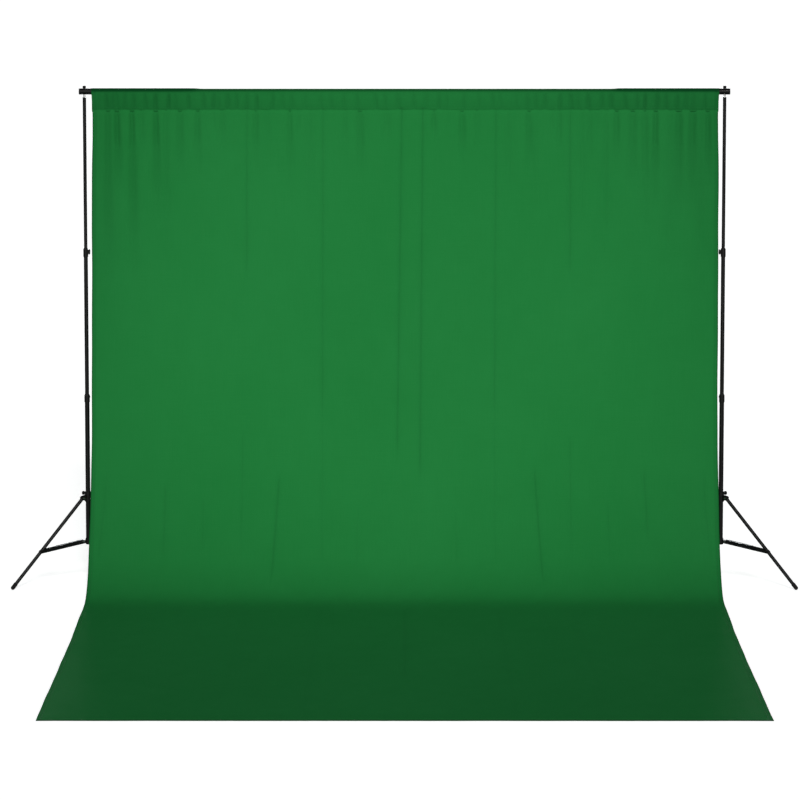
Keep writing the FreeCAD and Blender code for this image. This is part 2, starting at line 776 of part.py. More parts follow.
# the outer sections' open ends, along X
left_mouth = dims.outer_left_len - dims.bar_half
right_mouth = dims.bar_half - dims.outer_right_len
crossbar_tubes(left_mouth, right_mouth)
compound_on_bar("crossbar_reducing_bushes", [
    reducing_bush("left", left_mouth, 1),
    reducing_bush("right", right_mouth, -1),
])
compound_on_bar("crossbar_end_caps", [end_cap("left", 1), end_cap("right", -1)])

# ---------------------------------------------------------------- cloth
# The sleeve and the hanging part are one solid; the cove and the run over the floor are the
# other. Both are closed strips of even thickness swept across the width.
half_width = dims.cloth_half.value
thickness = dims.cloth_t.value
seam = dims.sleeve_bottom.value
split = dims.drop_bottom.value
SPLIT_GAP = 0.1  # each solid stops this far from the split level
SLEEVE_RADIUS = dims.outer_od.value / 2 + 0.25

# middle line of the cloth: (height, distance forward of the stand plane)
MIDDLE_LINE = [
    (seam, 0.0), (1900.0, 2.0), (1500.0, 9.0), (1320.0, 17.0), (1100.0, 31.0),
    (860.0, 56.0), (740.0, 76.0), (635.0, 101.0), (520.0, 139.0), (415.0, 184.0),
    (310.0, 237.0), (230.0, 285.0), (split, 341.0), (115.0, 375.0), (90.0, 404.0),
    (70.0, 431.0), (52.0, 459.0), (38.0, 484.0), (25.0, 513.0), (14.0, 547.0),
    (7.0, 586.0), (3.0, 632.0), (1.2, 680.0), (thickness / 2, 730.0),
    (thickness / 2, dims.floor_run.value),
]


def offset_line(points, side):
    """Points moved half the thickness to the front (1) or rear (-1) face, mitred."""
    normals = [
        Vector(forward_b - forward_a, height_a - height_b, 0).normalize()
        for (height_a, forward_a), (height_b, forward_b) in zip(points, points[1:])
    ]
    moved = []
    for i, (height, forward) in enumerate(points):
        adjacent = normals[max(i - 1, 0):i + 1]
        mitre = sum(adjacent, Vector()).normalize()
        shift = side * thickness / 2 / mitre.dot(adjacent[0])
        moved.append((height + shift * mitre.x, forward + shift * mitre.y))
    return moved


def sleeve_loop(radius, bottom, gap, steps=24):
    """Loop over the bar whose two sides close in to the gap either side of the middle."""
    bar = dims.bar_height.value
    lean = math.asin((radius - gap) / math.hypot(bar - bottom, gap))
    points = [(bottom, gap)]
    for k in range(steps + 1):
        angle = -lean + (math.pi + 2 * lean) * k / steps
        points.append((bar + radius * math.sin(angle), radius * math.cos(angle)))
    points.append((bottom, -gap))
    return points


def cloth_strip(label, *outlines):
    """Solid across the width from an outline of (height, forward) points and any holes."""
    wires = []
    for outline in outlines:
        points = [Vector(-half_width, -forward, height) for height, forward in outline]
        wires.append(Part.makePolygon(points + [points[0]]))
    face = Part.makeFace(wires, "Part::FaceMakerBullseye")
    strip = doc.addObject("Part::Feature", label)
    strip.Shape = face.extrude(Vector(2 * half_width, 0, 0))
    place(keep(strip, label), 0, dims.stand_back, 0)


def backdrop_drop():
    upper = [point for point in MIDDLE_LINE if point[0] >= split]
    front = offset_line(upper, 1)
    rear = offset_line(upper, -1)
    # trim both lower ends level
    front[-1] = (split + SPLIT_GAP, front[-1][1])
    rear[-1] = (split + SPLIT_GAP, rear[-1][1])
    outside = sleeve_loop(SLEEVE_RADIUS + thickness, seam, thickness / 2)
    inside = sleeve_loop(SLEEVE_RADIUS, seam + 12.0, 0.4)
    cloth_strip("backdrop_drop", outside + rear[1:] + front[:0:-1], inside)


def backdrop_sweep():
    lower = [point for point in MIDDLE_LINE if point[0] <= split]
    front = offset_line(lower, 1)
    rear = offset_line(lower, -1)
    # trim both upper ends level
    front[0] = (split - SPLIT_GAP, front[0][1])
    rear[0] = (split - SPLIT_GAP, rear[0][1])
    cloth_strip("backdrop_sweep", rear + front[::-1])


backdrop_drop()
backdrop_sweep()

# ---------------------------------------------------------------- checks and files
doc.recompute()
faults = []
for obj in doc.Objects:
    if "Invalid" in obj.State or "Error" in obj.State:
        faults.append(f"{obj.Name} is {obj.State}")
for obj in PARTS:
    shape = obj.Shape
    if shape.isNull() or not shape.isValid() or not shape.Solids:
        faults.append(f"{obj.Label} has no valid solid")
    elif shape.Volume <= 0:
        faults.append(f"{obj.Label} has no volume")
if len({obj.Label for obj in PARTS}) != len(PARTS):
    faults.append("two sub-parts share a label")
if faults:
    raise RuntimeError("; ".join(faults))

os.makedirs("parts", exist_ok=True)
for obj in PARTS:
    obj.Shape.exportStep(f"parts/{obj.Label}.step")
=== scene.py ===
"""A green muslin backdrop on two black stands, with a crossbar between them.

The stands stand on z = 0 and +X is along the crossbar. The cloth is sewn into a sleeve round the
bar, hangs in front of it, curves out above the floor and runs forward, towards -Y and the camera.
The stands come from the CAD and only get materials; the cloth is built here. All sizes are metres.
"""
import math

import bpy
import numpy as np
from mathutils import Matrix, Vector


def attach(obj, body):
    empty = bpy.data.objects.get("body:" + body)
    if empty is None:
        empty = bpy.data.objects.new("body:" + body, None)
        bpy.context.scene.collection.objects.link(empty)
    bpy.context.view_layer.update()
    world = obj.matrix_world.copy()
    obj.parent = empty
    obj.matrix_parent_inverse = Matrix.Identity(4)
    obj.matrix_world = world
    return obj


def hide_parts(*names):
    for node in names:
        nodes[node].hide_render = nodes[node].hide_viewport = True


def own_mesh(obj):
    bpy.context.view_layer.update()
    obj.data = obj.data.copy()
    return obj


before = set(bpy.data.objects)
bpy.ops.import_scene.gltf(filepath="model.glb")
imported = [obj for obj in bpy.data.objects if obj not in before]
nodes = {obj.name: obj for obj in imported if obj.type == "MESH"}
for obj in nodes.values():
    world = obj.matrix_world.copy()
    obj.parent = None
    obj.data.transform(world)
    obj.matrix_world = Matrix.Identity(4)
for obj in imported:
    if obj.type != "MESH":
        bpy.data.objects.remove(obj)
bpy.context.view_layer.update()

rng = np.random.default_rng(4117)
scene = bpy.context.scene

# ------------------------------------------------------------------ sizes
PLANE_Y = 1.42575      # the stands and the crossbar stand in this plane
BAR_Z = 2.293          # crossbar axis
SEAM_Z = 2.212         # where the sleeve is sewn shut
CLOTH_T = 0.0009       # one layer
HALF_WIDTH = 1.446     # nominal, for spacing columns across the cloth
HEM_W = 0.021          # side hems
FLOOR_RUN = 3.250      # front hem, forward of the stands
STEP_LEFT, STEP_RIGHT = -0.980, 1.000   # where the crossbar narrows
BAR_R_OUT, BAR_R_IN = 0.0140, 0.0115    # bar radius outside and inside those steps
TOP_Z, MID_Z, LOW_Z = 2.050, 1.250, 0.450   # where one part of the cloth hands over to the next


# ------------------------------------------------------------------ shader trees
class Shader:
    """The node tree of a material or world; most methods add a node and return its output."""

    def __init__(self, owner):
        owner.use_nodes = True
        self.owner = owner
        self.tree = owner.node_tree
        self.tree.nodes.clear()

    def feed(self, socket, value):
        """Link a socket, or set a value; colours are given without alpha."""
        if isinstance(value, bpy.types.NodeSocket):
            self.tree.links.new(value, socket)
        else:
            socket.default_value = (*value, 1.0) if socket.type == "RGBA" else value

    def add(self, kind, settings=None, **inputs):
        node = self.tree.nodes.new(kind)
        for key, value in (settings or {}).items():
            setattr(node, key, value)
        for key, value in inputs.items():
            self.feed(node.inputs[key.replace("_", " ")], value)
        return node

    def join(self, kind, *sources):
        """A shader node fed in the order of its sockets."""
        node = self.add(kind)
        for socket, source in zip(node.inputs, sources):
            self.feed(socket, source)
        return node.outputs[0]

    def maths(self, operation, *terms, clamp=False):
        node = self.add("ShaderNodeMath", {"operation": operation, "use_clamp": clamp})
        for socket, term in zip(node.inputs, terms):
            self.feed(socket, term)
        return node.outputs[0]

    def mix(self, factor, low, high):
        """Colour from low to high as the factor goes from 0 to 1."""
        node = self.add("ShaderNodeMix", {"data_type": "RGBA"}, Factor=factor)
        self.feed(node.inputs[6], low)
        self.feed(node.inputs[7], high)
        return node.outputs[2]

    def noise(self, vector, scale=1.0, detail=2.0, rough=0.5, stretch=None):
        if stretch:
            vector = self.add("ShaderNodeMapping", Vector=vector, Scale=stretch).outputs["Vector"]
        return self.add("ShaderNodeTexNoise", Vector=vector, Scale=scale, Detail=detail,
                        Roughness=rough).outputs["Fac"]

    def span(self, value, over=(0.3, 0.7), to=(0.0, 1.0)):
        return self.add("ShaderNodeMapRange", Value=value, From_Min=over[0], From_Max=over[1],
                        To_Min=to[0], To_Max=to[1]).outputs["Result"]

    def cloth_uv(self):
        return self.add("ShaderNodeUVMap", {"uv_map": "Cloth"}).outputs["UV"]

    def object_space(self):
        return self.add("ShaderNodeTexCoord").outputs["Object"]

    def finish(self, colour, rough, height, depth, **looks):
        """Principled surface with the height as a bump of this depth; returns the material."""
        bump = self.add("ShaderNodeBump", Strength=1.0, Distance=depth, Height=height)
        surface = self.add("ShaderNodeBsdfPrincipled", Base_Color=colour, Roughness=rough,
                           Normal=bump.outputs["Normal"], **looks)
        self.add("ShaderNodeOutputMaterial", Surface=surface.outputs["BSDF"])
        return self.owner


def new_shader(name):
    return Shader(bpy.data.materials.new(name))


# ------------------------------------------------------------------ cloth materials
THREAD_PITCH = 0.0011   # one full wave of the weave


def cloth_material():
    """Plain-woven muslin: threads, slubs, dye variation, and painted shade where the shade
    attribute says so.
    """
    m = new_shader("green_muslin")
    uv = m.cloth_uv()
    parts = m.add("ShaderNodeSeparateXYZ", Vector=uv)
    # threads wander a little, so that the weave isn't ruled
    wander = m.span(m.noise(uv, scale=9.0), over=(0.0, 1.0), to=(-0.0012, 0.0012))

    def threads(axis):
        place = m.maths("ADD", parts.outputs[axis], wander)
        return m.maths("SINE", m.maths("MULTIPLY", place, 2 * math.pi / THREAD_PITCH))

    weave = m.maths("MULTIPLY", threads("X"), threads("Y"))
    # slubs: thick places in single threads, long along the thread and narrow across it
    slub = m.maths("ADD",
                   m.noise(uv, detail=3.0, rough=0.6, stretch=(420.0, 6.0, 1.0)),
                   m.noise(uv, detail=3.0, rough=0.6, stretch=(6.0, 420.0, 1.0)))
    # broad, soft differences in how the dye took
    dye = m.noise(uv, detail=3.0, rough=0.55, stretch=(1.3, 0.8, 1.0))
    mottle = m.noise(uv, detail=4.0, rough=0.6, stretch=(11.0, 7.0, 1.0))
    base = m.mix(m.span(dye), low=(0.0128, 0.1990, 0.0420), high=(0.0162, 0.2120, 0.0480))
    base = m.mix(m.span(mottle, to=(0.0, 0.16)), low=base, high=(0.0140, 0.1700, 0.0360))
    base = m.mix(m.span(slub, over=(0.9, 1.25), to=(0.0, 0.10)),
                 low=base, high=(0.0420, 0.2700, 0.0760))
    base = m.mix(m.span(weave, over=(-1.0, 1.0), to=(0.0, 0.14)),
                 low=base, high=(0.0100, 0.1350, 0.0270))
    # painted shade: the shade attribute darkens the cloth toward this deep green in gathers,
    # creases, hems, on the sleeve and in the upper corners
    shade = m.add("ShaderNodeAttribute", {"attribute_name": "shade"}).outputs["Fac"]
    base = m.mix(shade, low=base, high=(0.0004, 0.0400, 0.0090))
    rough = m.span(mottle, over=(0.2, 0.8), to=(0.84, 0.95))
    height = m.maths("ADD", m.maths("MULTIPLY", weave, 0.5), m.maths("MULTIPLY", slub, 0.8))
    return m.finish(base, rough, height, depth=0.00018, Specular_IOR_Level=0.05,
                    Sheen_Weight=0.018, Sheen_Roughness=0.45, Sheen_Tint=(0.04, 0.70, 0.30))


def thread_material():
    """The sewing thread: two plies, a shade deeper than the cloth."""
    m = new_shader("sewing_thread")
    uv = m.cloth_uv()
    ply = m.add("ShaderNodeTexWave", {"bands_direction": "DIAGONAL"}, Vector=uv, Scale=600.0,
                Distortion=1.0, Detail=1.0).outputs["Fac"]
    tone = m.noise(uv, scale=40.0)
    base = m.mix(ply, low=(0.006, 0.085, 0.020), high=(0.016, 0.150, 0.040))
    base = m.mix(m.span(tone, to=(0.0, 0.3)), low=base, high=(0.020, 0.180, 0.050))
    rough = m.span(tone, over=(0.2, 0.8), to=(0.45, 0.62))
    return m.finish(base, rough, ply, depth=0.0001, Specular_IOR_Level=0.35,
                    Sheen_Weight=0.15, Sheen_Roughness=0.4, Sheen_Tint=(0.4, 0.8, 0.5))


# ------------------------------------------------------------------ stand materials
def coated_steel(name, along, tint, light, specular=0.20):
    """Black enamel on steel tube: orange peel, faint drawing lines, dulled by handling.

    along scales the texture on each axis; it is small on the axis that the lines follow.
    """
    m = new_shader(name)
    at = m.object_space()
    peel = m.noise(at, scale=1400.0)
    lines = m.noise(at, detail=3.0, rough=0.6, stretch=tuple(900.0 * v for v in along))
    handled = m.noise(at, detail=4.0, rough=0.6, stretch=tuple(60.0 * v + 4.0 for v in along))
    specks = m.noise(at, scale=520.0, detail=1.0)
    base = m.mix(m.span(handled, over=(0.35, 0.7), to=(0.0, 0.8)), low=tint, high=light)
    base = m.mix(m.span(specks, over=(0.72, 0.80), to=(0.0, 0.35)),
                 low=base, high=(0.040, 0.040, 0.040))
    base = m.mix(m.span(lines, over=(0.4, 0.75), to=(0.0, 0.25)),
                 low=base, high=(0.014, 0.014, 0.0145))
    rough = m.maths("ADD", m.span(handled, to=(0.30, 0.42)), m.span(lines, to=(0.0, 0.08)))
    height = m.maths("ADD", peel, m.maths("MULTIPLY", lines, 0.4))
    return m.finish(base, rough, height, depth=0.00004, Specular_IOR_Level=specular,
                    Coat_Weight=0.02)


def moulded_plastic():
    """Black moulded plastic: fine grain, slightly greyer flow marks, dust in the grain."""
    m = new_shader("black_moulded_plastic")
    at = m.object_space()
    grain = m.noise(at, scale=3800.0, rough=0.7)
    flow = m.noise(at, detail=4.0, rough=0.55, stretch=(60.0, 60.0, 180.0))
    dust = m.noise(at, scale=240.0, detail=5.0, rough=0.65)
    base = m.mix(m.span(flow), low=(0.0020, 0.0020, 0.0022), high=(0.0050, 0.0050, 0.0053))
    base = m.mix(m.span(dust, over=(0.58, 0.8), to=(0.0, 0.22)),
                 low=base, high=(0.022, 0.0216, 0.0205))
    rough = m.maths("ADD", m.span(flow, to=(0.44, 0.58)), m.span(grain, to=(-0.05, 0.05)))
    return m.finish(base, rough, grain, depth=0.00006, Specular_IOR_Level=0.22)


def foot_rubber():
    """Soft black rubber, matt, with floor dust on its lowest few millimetres."""
    m = new_shader("black_foot_rubber")
    at = m.object_space()
    z = m.add("ShaderNodeSeparateXYZ", Vector=at).outputs["Z"]
    pores = m.noise(at, scale=1800.0, detail=3.0, rough=0.7)
    smear = m.noise(at, scale=160.0, detail=4.0, rough=0.6)
    low_down = m.span(z, over=(0.001, 0.010), to=(1.0, 0.0))
    patches = m.span(smear, over=(0.35, 0.65), to=(0.1, 0.9))
    dust = m.maths("MULTIPLY", low_down, patches, clamp=True)
    base = m.mix(m.span(smear), low=(0.0050, 0.0049, 0.0048), high=(0.0100, 0.0098, 0.0095))
    base = m.mix(dust, low=base, high=(0.085, 0.080, 0.072))
    return m.finish(base, m.span(smear, to=(0.74, 0.90)), pores, depth=0.00010,
                    Specular_IOR_Level=0.3)


def bare_metal(name, tint, dark, rough_range, line_stretch):
    """Bare steel: turned or drawn lines, a little tarnish."""
    m = new_shader(name)
    at = m.object_space()
    lines = m.noise(at, rough=0.6, stretch=line_stretch)
    tarnish = m.noise(at, scale=190.0, detail=5.0, rough=0.6)
    base = m.mix(m.span(tarnish, over=(0.45, 0.75), to=(0.0, 0.8)), low=tint, high=dark)
    rough = m.maths("ADD", m.span(lines, to=rough_range),
                    m.span(tarnish, over=(0.4, 0.7), to=(0.0, 0.14)))
    return m.finish(base, rough, lines, depth=0.00004, Metallic=1.0)


CLOTH = cloth_material()
THREAD = thread_material()
TUBE_UP = coated_steel("coated_steel_upright", along=(1.0, 1.0, 0.02),
                       tint=(0.0022, 0.0022, 0.0024), light=(0.0056, 0.0056, 0.0060))
TUBE_OVER = coated_steel("coated_steel_crossbar", along=(0.02, 1.0, 1.0),
                         tint=(0.0028, 0.0028, 0.0030), light=(0.0055, 0.0055, 0.0060),
                         specular=0.14)
LEG_STEEL = coated_steel("coated_steel_leg", along=(0.35, 0.35, 0.35),
                         tint=(0.0032, 0.0034, 0.0037), light=(0.0085, 0.0088, 0.0094))
PLASTIC = moulded_plastic()
RUBBER = foot_rubber()
RIVET = bare_metal("rivet_steel", tint=(0.36, 0.36, 0.37), dark=(0.12, 0.115, 0.11),
                   rough_range=(0.26, 0.40), line_stretch=(2200.0, 2200.0, 60.0))
BRIGHT = bare_metal("bright_steel", tint=(0.86, 0.86, 0.87), dark=(0.60, 0.59, 0.57),
                    rough_range=(0.16, 0.30), line_stretch=(40.0, 40.0, 5200.0))

PLASTIC_WORDS = ("clamp", "knob", "collar", "hub", "bush", "end_caps", "thumb_nut")


def paint(name):
    """The material and the slot name for a CAD piece."""
    if name.startswith("backdrop"):
        return CLOTH, "green_cloth"
    if "rivets" in name:
        return RIVET, "rivet_steel"
    if name.endswith("_stud"):
        return BRIGHT, "bright_steel"
    if "foot" in name:
        return RUBBER, "black_rubber"
    if any(word in name for word in PLASTIC_WORDS):
        return PLASTIC, "black_plastic"
    if "leg_" in name or "brace_" in name:
        return LEG_STEEL, "black_tube"
    if name.startswith("crossbar"):
        return TUBE_OVER, "black_tube"
    return TUBE_UP, "black_tube"


for name, obj in nodes.items():
    material, slot_name = paint(name)
    obj.data.materials.clear()
    obj.data.materials.append(material)

# ------------------------------------------------------------------ cloth centre line
# middle line of the hanging part, the cove and the floor run: height, distance forward
LINE = [
    (2.2120, 0.0000), (1.9000, 0.0020), (1.5000, 0.0090), (1.3200, 0.0170), (1.1000, 0.0310),
    (0.8600, 0.0560), (0.7400, 0.0760), (0.6350, 0.1010), (0.5200, 0.1390), (0.4150, 0.1840),
    (0.3100, 0.2370), (0.2300, 0.2850), (0.1500, 0.3410), (0.1150, 0.3750), (0.0900, 0.4040),
    (0.0700, 0.4310), (0.0520, 0.4590), (0.0380, 0.4840), (0.0250, 0.5130), (0.0140, 0.5470),
    (0.0070, 0.5860), (0.0030, 0.6320), (0.0012, 0.6800), (0.0006, 0.7300),
    (0.0006, FLOOR_RUN),
]
REST_Z = LINE[-1][0]   # middle of the cloth where it lies on the floor


def running_length(a, b):
    return np.concatenate([[0], np.cumsum(np.hypot(np.diff(a), np.diff(b)))])


def resample(points, step, sigma):
    """The line at even steps, rounded by a moving average: distance along, height, forward."""
    heights, forwards = np.array(points).T
    run = running_length(heights, forwards)
    even = np.arange(0, run[-1], step)
    half = int(4 * sigma / step)
    kernel = np.exp(-0.5 * (np.arange(-half, half + 1) * step / sigma) ** 2)
    kernel /= kernel.sum()

    def rounded(values):
        v = np.interp(even, run, values)
        head = 2 * v[0] - v[1:half + 1][::-1]
        tail = 2 * v[-1] - v[-half - 1:-1][::-1]
        return np.convolve(np.concatenate([head, v, tail]), kernel, "valid")

    z, forward = rounded(heights), rounded(forwards)
    return running_length(z, forward), z, forward


LINE_S, LINE_Z, LINE_D = resample(LINE, step=0.002, sigma=0.022)
LENGTH = float(LINE_S[-1])
LINE_Z = np.maximum(LINE_Z, REST_Z)


def distance_at_height(z):
    """Distance below the seam at which the hanging part reaches a height."""
    used = int(0.8 * len(LINE_Z))
    return float(np.interp(-z, -LINE_Z[:used], LINE_S[:used]))


def ramp(value, start, end):
    """0 up to start, 1 from end, with a smooth rise between."""
    k = np.clip((value - start) / (end - start), 0, 1)
    return k * k * (3 - 2 * k)


def bell(value, width):
    return np.exp(-(value / width) ** 2)


# Parameter t along the strip: -1..0 is the sleeve, from the end behind the seam, up behind the
# bar, over it and down in front to the seam; 0 and more is metres below the seam.
T_TAIL, T_BACK, T_OVER = -0.93, -0.62, -0.36
TOP_T, MID_T, LOW_T = (distance_at_height(z) for z in (TOP_Z, MID_Z, LOW_Z))

BAR_GAP = 0.00025        # between the bar and the cloth
EASE = (0.004, 0.050)    # where the sleeve starts and ends easing down past each step
PINCH = 0.00065          # the sheet's distance from the plane at the seam
PINCH_FADE = 0.04        # over which the hanging part loses that distance
TAIL_DROP = 0.012        # the sleeve's end hangs this far below the seam
TAIL_BACK = 0.0006       # and this much farther back


def bar_radius(x):
    inside = (ramp(x, STEP_LEFT + EASE[0], STEP_LEFT + EASE[1])
              * (1 - ramp(x, STEP_RIGHT - EASE[1], STEP_RIGHT - EASE[0])))
    return BAR_R_OUT + (BAR_R_IN - BAR_R_OUT) * inside


def base_line(x, t):
    """Forward distance and height of the unwrinkled sheet at x, t."""
    radius = bar_radius(x) + BAR_GAP + CLOTH_T / 2
    lean = np.arcsin((radius - 0.0007) / (BAR_Z - SEAM_Z))   # of the sleeve's flat sides
    front_d, front_z = radius * np.cos(lean), BAR_Z - radius * np.sin(lean)

    def share(start, end):
        return np.clip((t - start) / (end - start), 0, 1)

    tail, up = 1 - share(-1, T_TAIL), share(T_TAIL, T_BACK)
    angle = math.pi + lean - (math.pi + 2 * lean) * share(T_BACK, T_OVER)
    down = share(T_OVER, 0)
    sections = [t <= T_TAIL, t <= T_BACK, t <= T_OVER, t <= 0]
    forward = np.select(sections, [
        -PINCH - TAIL_BACK * tail,
        -PINCH + (PINCH - front_d) * up,
        radius * np.cos(angle),
        front_d + (PINCH - front_d) * down,
    ], np.interp(t, LINE_S, LINE_D) + PINCH * np.exp(-np.clip(t, 0, None) / PINCH_FADE))
    z = np.select(sections, [
        SEAM_Z - TAIL_DROP * tail,
        SEAM_Z + (front_z - SEAM_Z) * up,
        BAR_Z + radius * np.sin(angle),
        front_z + (SEAM_Z - front_z) * down,
    ], np.interp(t, LINE_S, LINE_Z))
    return forward, z


def outward(x, t):
    """Forward and upward parts of the direction away from the unwrinkled sheet."""
    e = np.where(t < 0, 0.004, 0.003)
    forward_1, z_1 = base_line(x, t + e)
    forward_0, z_0 = base_line(x, t - e)
    along_d, along_z = forward_1 - forward_0, z_1 - z_0
    length = np.hypot(along_d, along_z) + 1e-12
    return -along_z / length, along_d / length


# half widths: t, to the left (-X), to the right (+X)
EDGES = np.array([
    (-1.0, 1.4405, 1.4470), (-0.50, 1.4430, 1.4500), (-0.02, 1.4385, 1.4450),
    (0.045, 1.4365, 1.4430), (0.16, 1.4390, 1.4490), (0.32, 1.4440, 1.4515),
    (0.9, 1.4480, 1.4525), (1.8, 1.4500, 1.4510), (2.3, 1.4500, 1.4500),
    (2.7, 1.4480, 1.4480), (3.2, 1.4420, 1.4410), (3.6, 1.4400, 1.4390),
    (LENGTH, 1.4400, 1.4400),
])


def edge(t, side):
    """Half width at t, softened along the strip, with a slight wave below the seam."""
    def measured(at):
        return np.interp(at, EDGES[:, 0], EDGES[:, 1 if side < 0 else 2])

    reach = measured(t)
    for away in (0.05, 0.1):
        reach = 0.5 * reach + 0.25 * (measured(t - away) + measured(t + away))
    wave = 0.0006 * np.sin(t * 7.3 + side) + 0.0004 * np.sin(t * 17.1 + 2 * side)
    return reach + wave * ramp(t, 0.05, 0.3)


def across(u, t):
    """x at a fraction across, from -1 to 1."""
    return u * np.where(u < 0, edge(t, -1), edge(t, 1))


# ------------------------------------------------------------------ gathers and creases
# gathers in the front of the sleeve: x of the valley, relative depth
SLEEVE_VALLEYS = [
    (-1.408619, .5), (-1.371750, 1.1), (-1.344098, .9), (-1.321055, .7), (-1.288795, .9),
    (-1.247318, .9), (-1.192014, .9), (-1.145928, 1.3), (-1.086017, 1.3), (-1.053756, .6),
    (-0.993845, 1.0), (-0.924716, .8), (-0.878630, 1.1), (-0.855587, .5), (-0.814109, 1.1),
    (-0.772632, .9), (-0.726546, 1.0), (-0.680460, 1.2), (-0.606722, 1.0), (-0.560636, .7),
    (-0.519159, .8), (-0.459247, .5), (-0.385509, .6), (-0.339423, .6), (-0.279512, .7),
    (-0.219600, .8), (-0.132036, .9), (-0.090559, .7), (-0.030647, .9), (0.043090, .8),
    (0.098394, .7), (0.158305, .9), (0.195174, .6), (0.273520, .8), (0.342649, .6),
    (0.407170, .7), (0.439430, .5), (0.513168, .4), (0.563862, .9), (0.605340, .8),
    (0.646817, .9), (0.715946, 1.1), (0.766641, 1.0), (0.798901, .6), (0.844987, 1.1),
    (0.909507, .9), (0.950985, 1.1), (1.015505, .9), (1.070808, .8), (1.107677, 1.4),
    (1.162980, 1.1), (1.204458, .9), (1.255152, .9), (1.296630, .8), (1.328890, .6),
    (1.384193, .7),
]
# gathers below the seam: x of the valley, relative depth, length
DROP_VALLEYS = [
    (-1.367141, .8, .75), (-1.325664, 1.2, .34), (-1.256535, 1.2, .70), (-1.215057, .5, .22),
    (-1.145928, 1.2, .42), (-1.099842, .5, .55), (-1.035322, .8, .30), (-0.952367, .9, .24),
    (-0.924716, .3, .10), (-0.883238, .4, .09), (-0.841761, .6, .16), (-0.685068, .9, .24),
    (-0.634374, .6, .16), (-0.528376, .9, .33), (-0.491507, .4, .12), (-0.440813, .4, .50),
    (-0.274903, .6, .18), (-0.205774, 1.2, .26), (-0.182731, .3, .12), (-0.081342, .7, .14),
    (0.135262, .9, .13), (0.195174, .3, .10), (0.264303, 1.2, .22), (0.333432, .6, .18),
    (0.476299, .4, .45), (0.573079, 1.1, .28), (0.600731, .3, .45), (0.679077, .5, .10),
    (0.715946, .8, .18), (0.817335, .4, .50), (0.854204, .6, .22), (0.891073, .5, .10),
    (0.927942, .4, .70), (0.978636, .9, .22), (1.052374, .9, .33), (1.107677, .7, .45),
    (1.158372, 1.1, .40), (1.227501, .5, .70), (1.264369, 1.2, .45), (1.328890, 1.2, .42),
    (1.370367, .4, .75), (1.398019, 1.0, .34),
]
# long creases: x at the start, x at the end, t at the start and at the end, relative depth
CREASES = [
    (-0.7265458, -0.7311544, -.02, .80, .85), (-0.3762922, -0.3809008, -.02, 1.45, .85),
    (-0.0122128, -0.0352558, -.05, 1.62, 1.25), (0.0845678, 0.0707420, -.05, 1.72, 1.25),
    (0.4209956, 0.4163870, -.02, 1.45, .85), (0.7620320, 0.7666406, -.02, .78, .90),
    (0.7666406, 0.7666406, 1.52, 2.08, .60), (-0.3809008, -0.3809008, 1.45, 2.15, .35),
    (0.4163870, 0.4163870, 1.45, 2.15, .35), (-1.1044510, -1.1090596, 1.74, 2.10, .85),
    (-1.3763584, -1.4086186, 1.70, 2.12, .6), (-0.9293242, -0.9293242, 1.80, 2.10, .45),
    (-0.7495888, -0.7541974, 1.50, 2.08, .50), (-0.5790706, -0.6136351, 1.70, 2.25, 1.25),
    (0.6007310, 0.6352955, 1.67, 2.25, 1.25), (0.9371588, 0.9417674, 1.82, 2.12, .60),
    (1.1076770, 1.1215028, 1.68, 2.02, .95), (1.3795844, 1.4026274, 1.70, 2.10, .6),
    (-0.2149912, -0.2242084, 1.85, 2.20, .35), (0.2320430, 0.2412602, 1.85, 2.20, .35),
    (0.0016130, 0.0016130, 2.55, 4.2, .8), (-0.3809008, -0.3993352, 2.5, 5.0, .35),
    (0.4209956, 0.4394300, 2.5, 5.0, .35), (-0.7127200, -0.7403716, 2.6, 4.8, .25),
    (0.7620320, 0.7942922, 2.6, 4.8, .25),
]

# sideways drift and width of each valley; all draws stay in this order
DROP_LEANS = rng.uniform(-0.016, 0.016, len(DROP_VALLEYS))
DROP_WIDTHS = rng.uniform(0.0095, 0.0165, len(DROP_VALLEYS))
SLEEVE_LEANS = rng.uniform(-0.006, 0.006, len(SLEEVE_VALLEYS))
SLEEVE_WIDTHS = rng.uniform(0.0080, 0.0125, len(SLEEVE_VALLEYS))
# gathers on the back of the sleeve: x, relative depth
BACK_VALLEYS = [(x, deep) for x, deep in zip(np.cumsum(rng.uniform(0.026, 0.068, 60)) - 1.42,
                                             rng.uniform(0.4, 1.2, 60)) if x < 1.42]
BACK_WIDTH = 0.0100
# waves: radians per metre across and along, phase, relative height
RIPPLES = list(zip(rng.normal(0, 70, 30), rng.normal(0, 32, 30), rng.uniform(0, 6.28, 30),
                   rng.uniform(0.4, 1.0, 30)))
SWELLS = [(kx, kt, phase, high / math.sqrt(abs(kx) / 8)) for kx, kt, phase, high in zip(
    rng.uniform(5, 24, 14) * rng.choice([-1, 1], 14), rng.normal(0, 0.9, 14),
    rng.uniform(0, 6.28, 14), rng.uniform(0.4, 1.0, 14))]


def waves(table, x, t):
    return sum(high * np.sin(kx * x + kt * t + phase) for kx, kt, phase, high in table)


def front_share(t):
    """0 where the sleeve leaves the bar in front, 1 at the seam."""
    return np.clip((t - T_OVER) / -T_OVER, 0, 1)


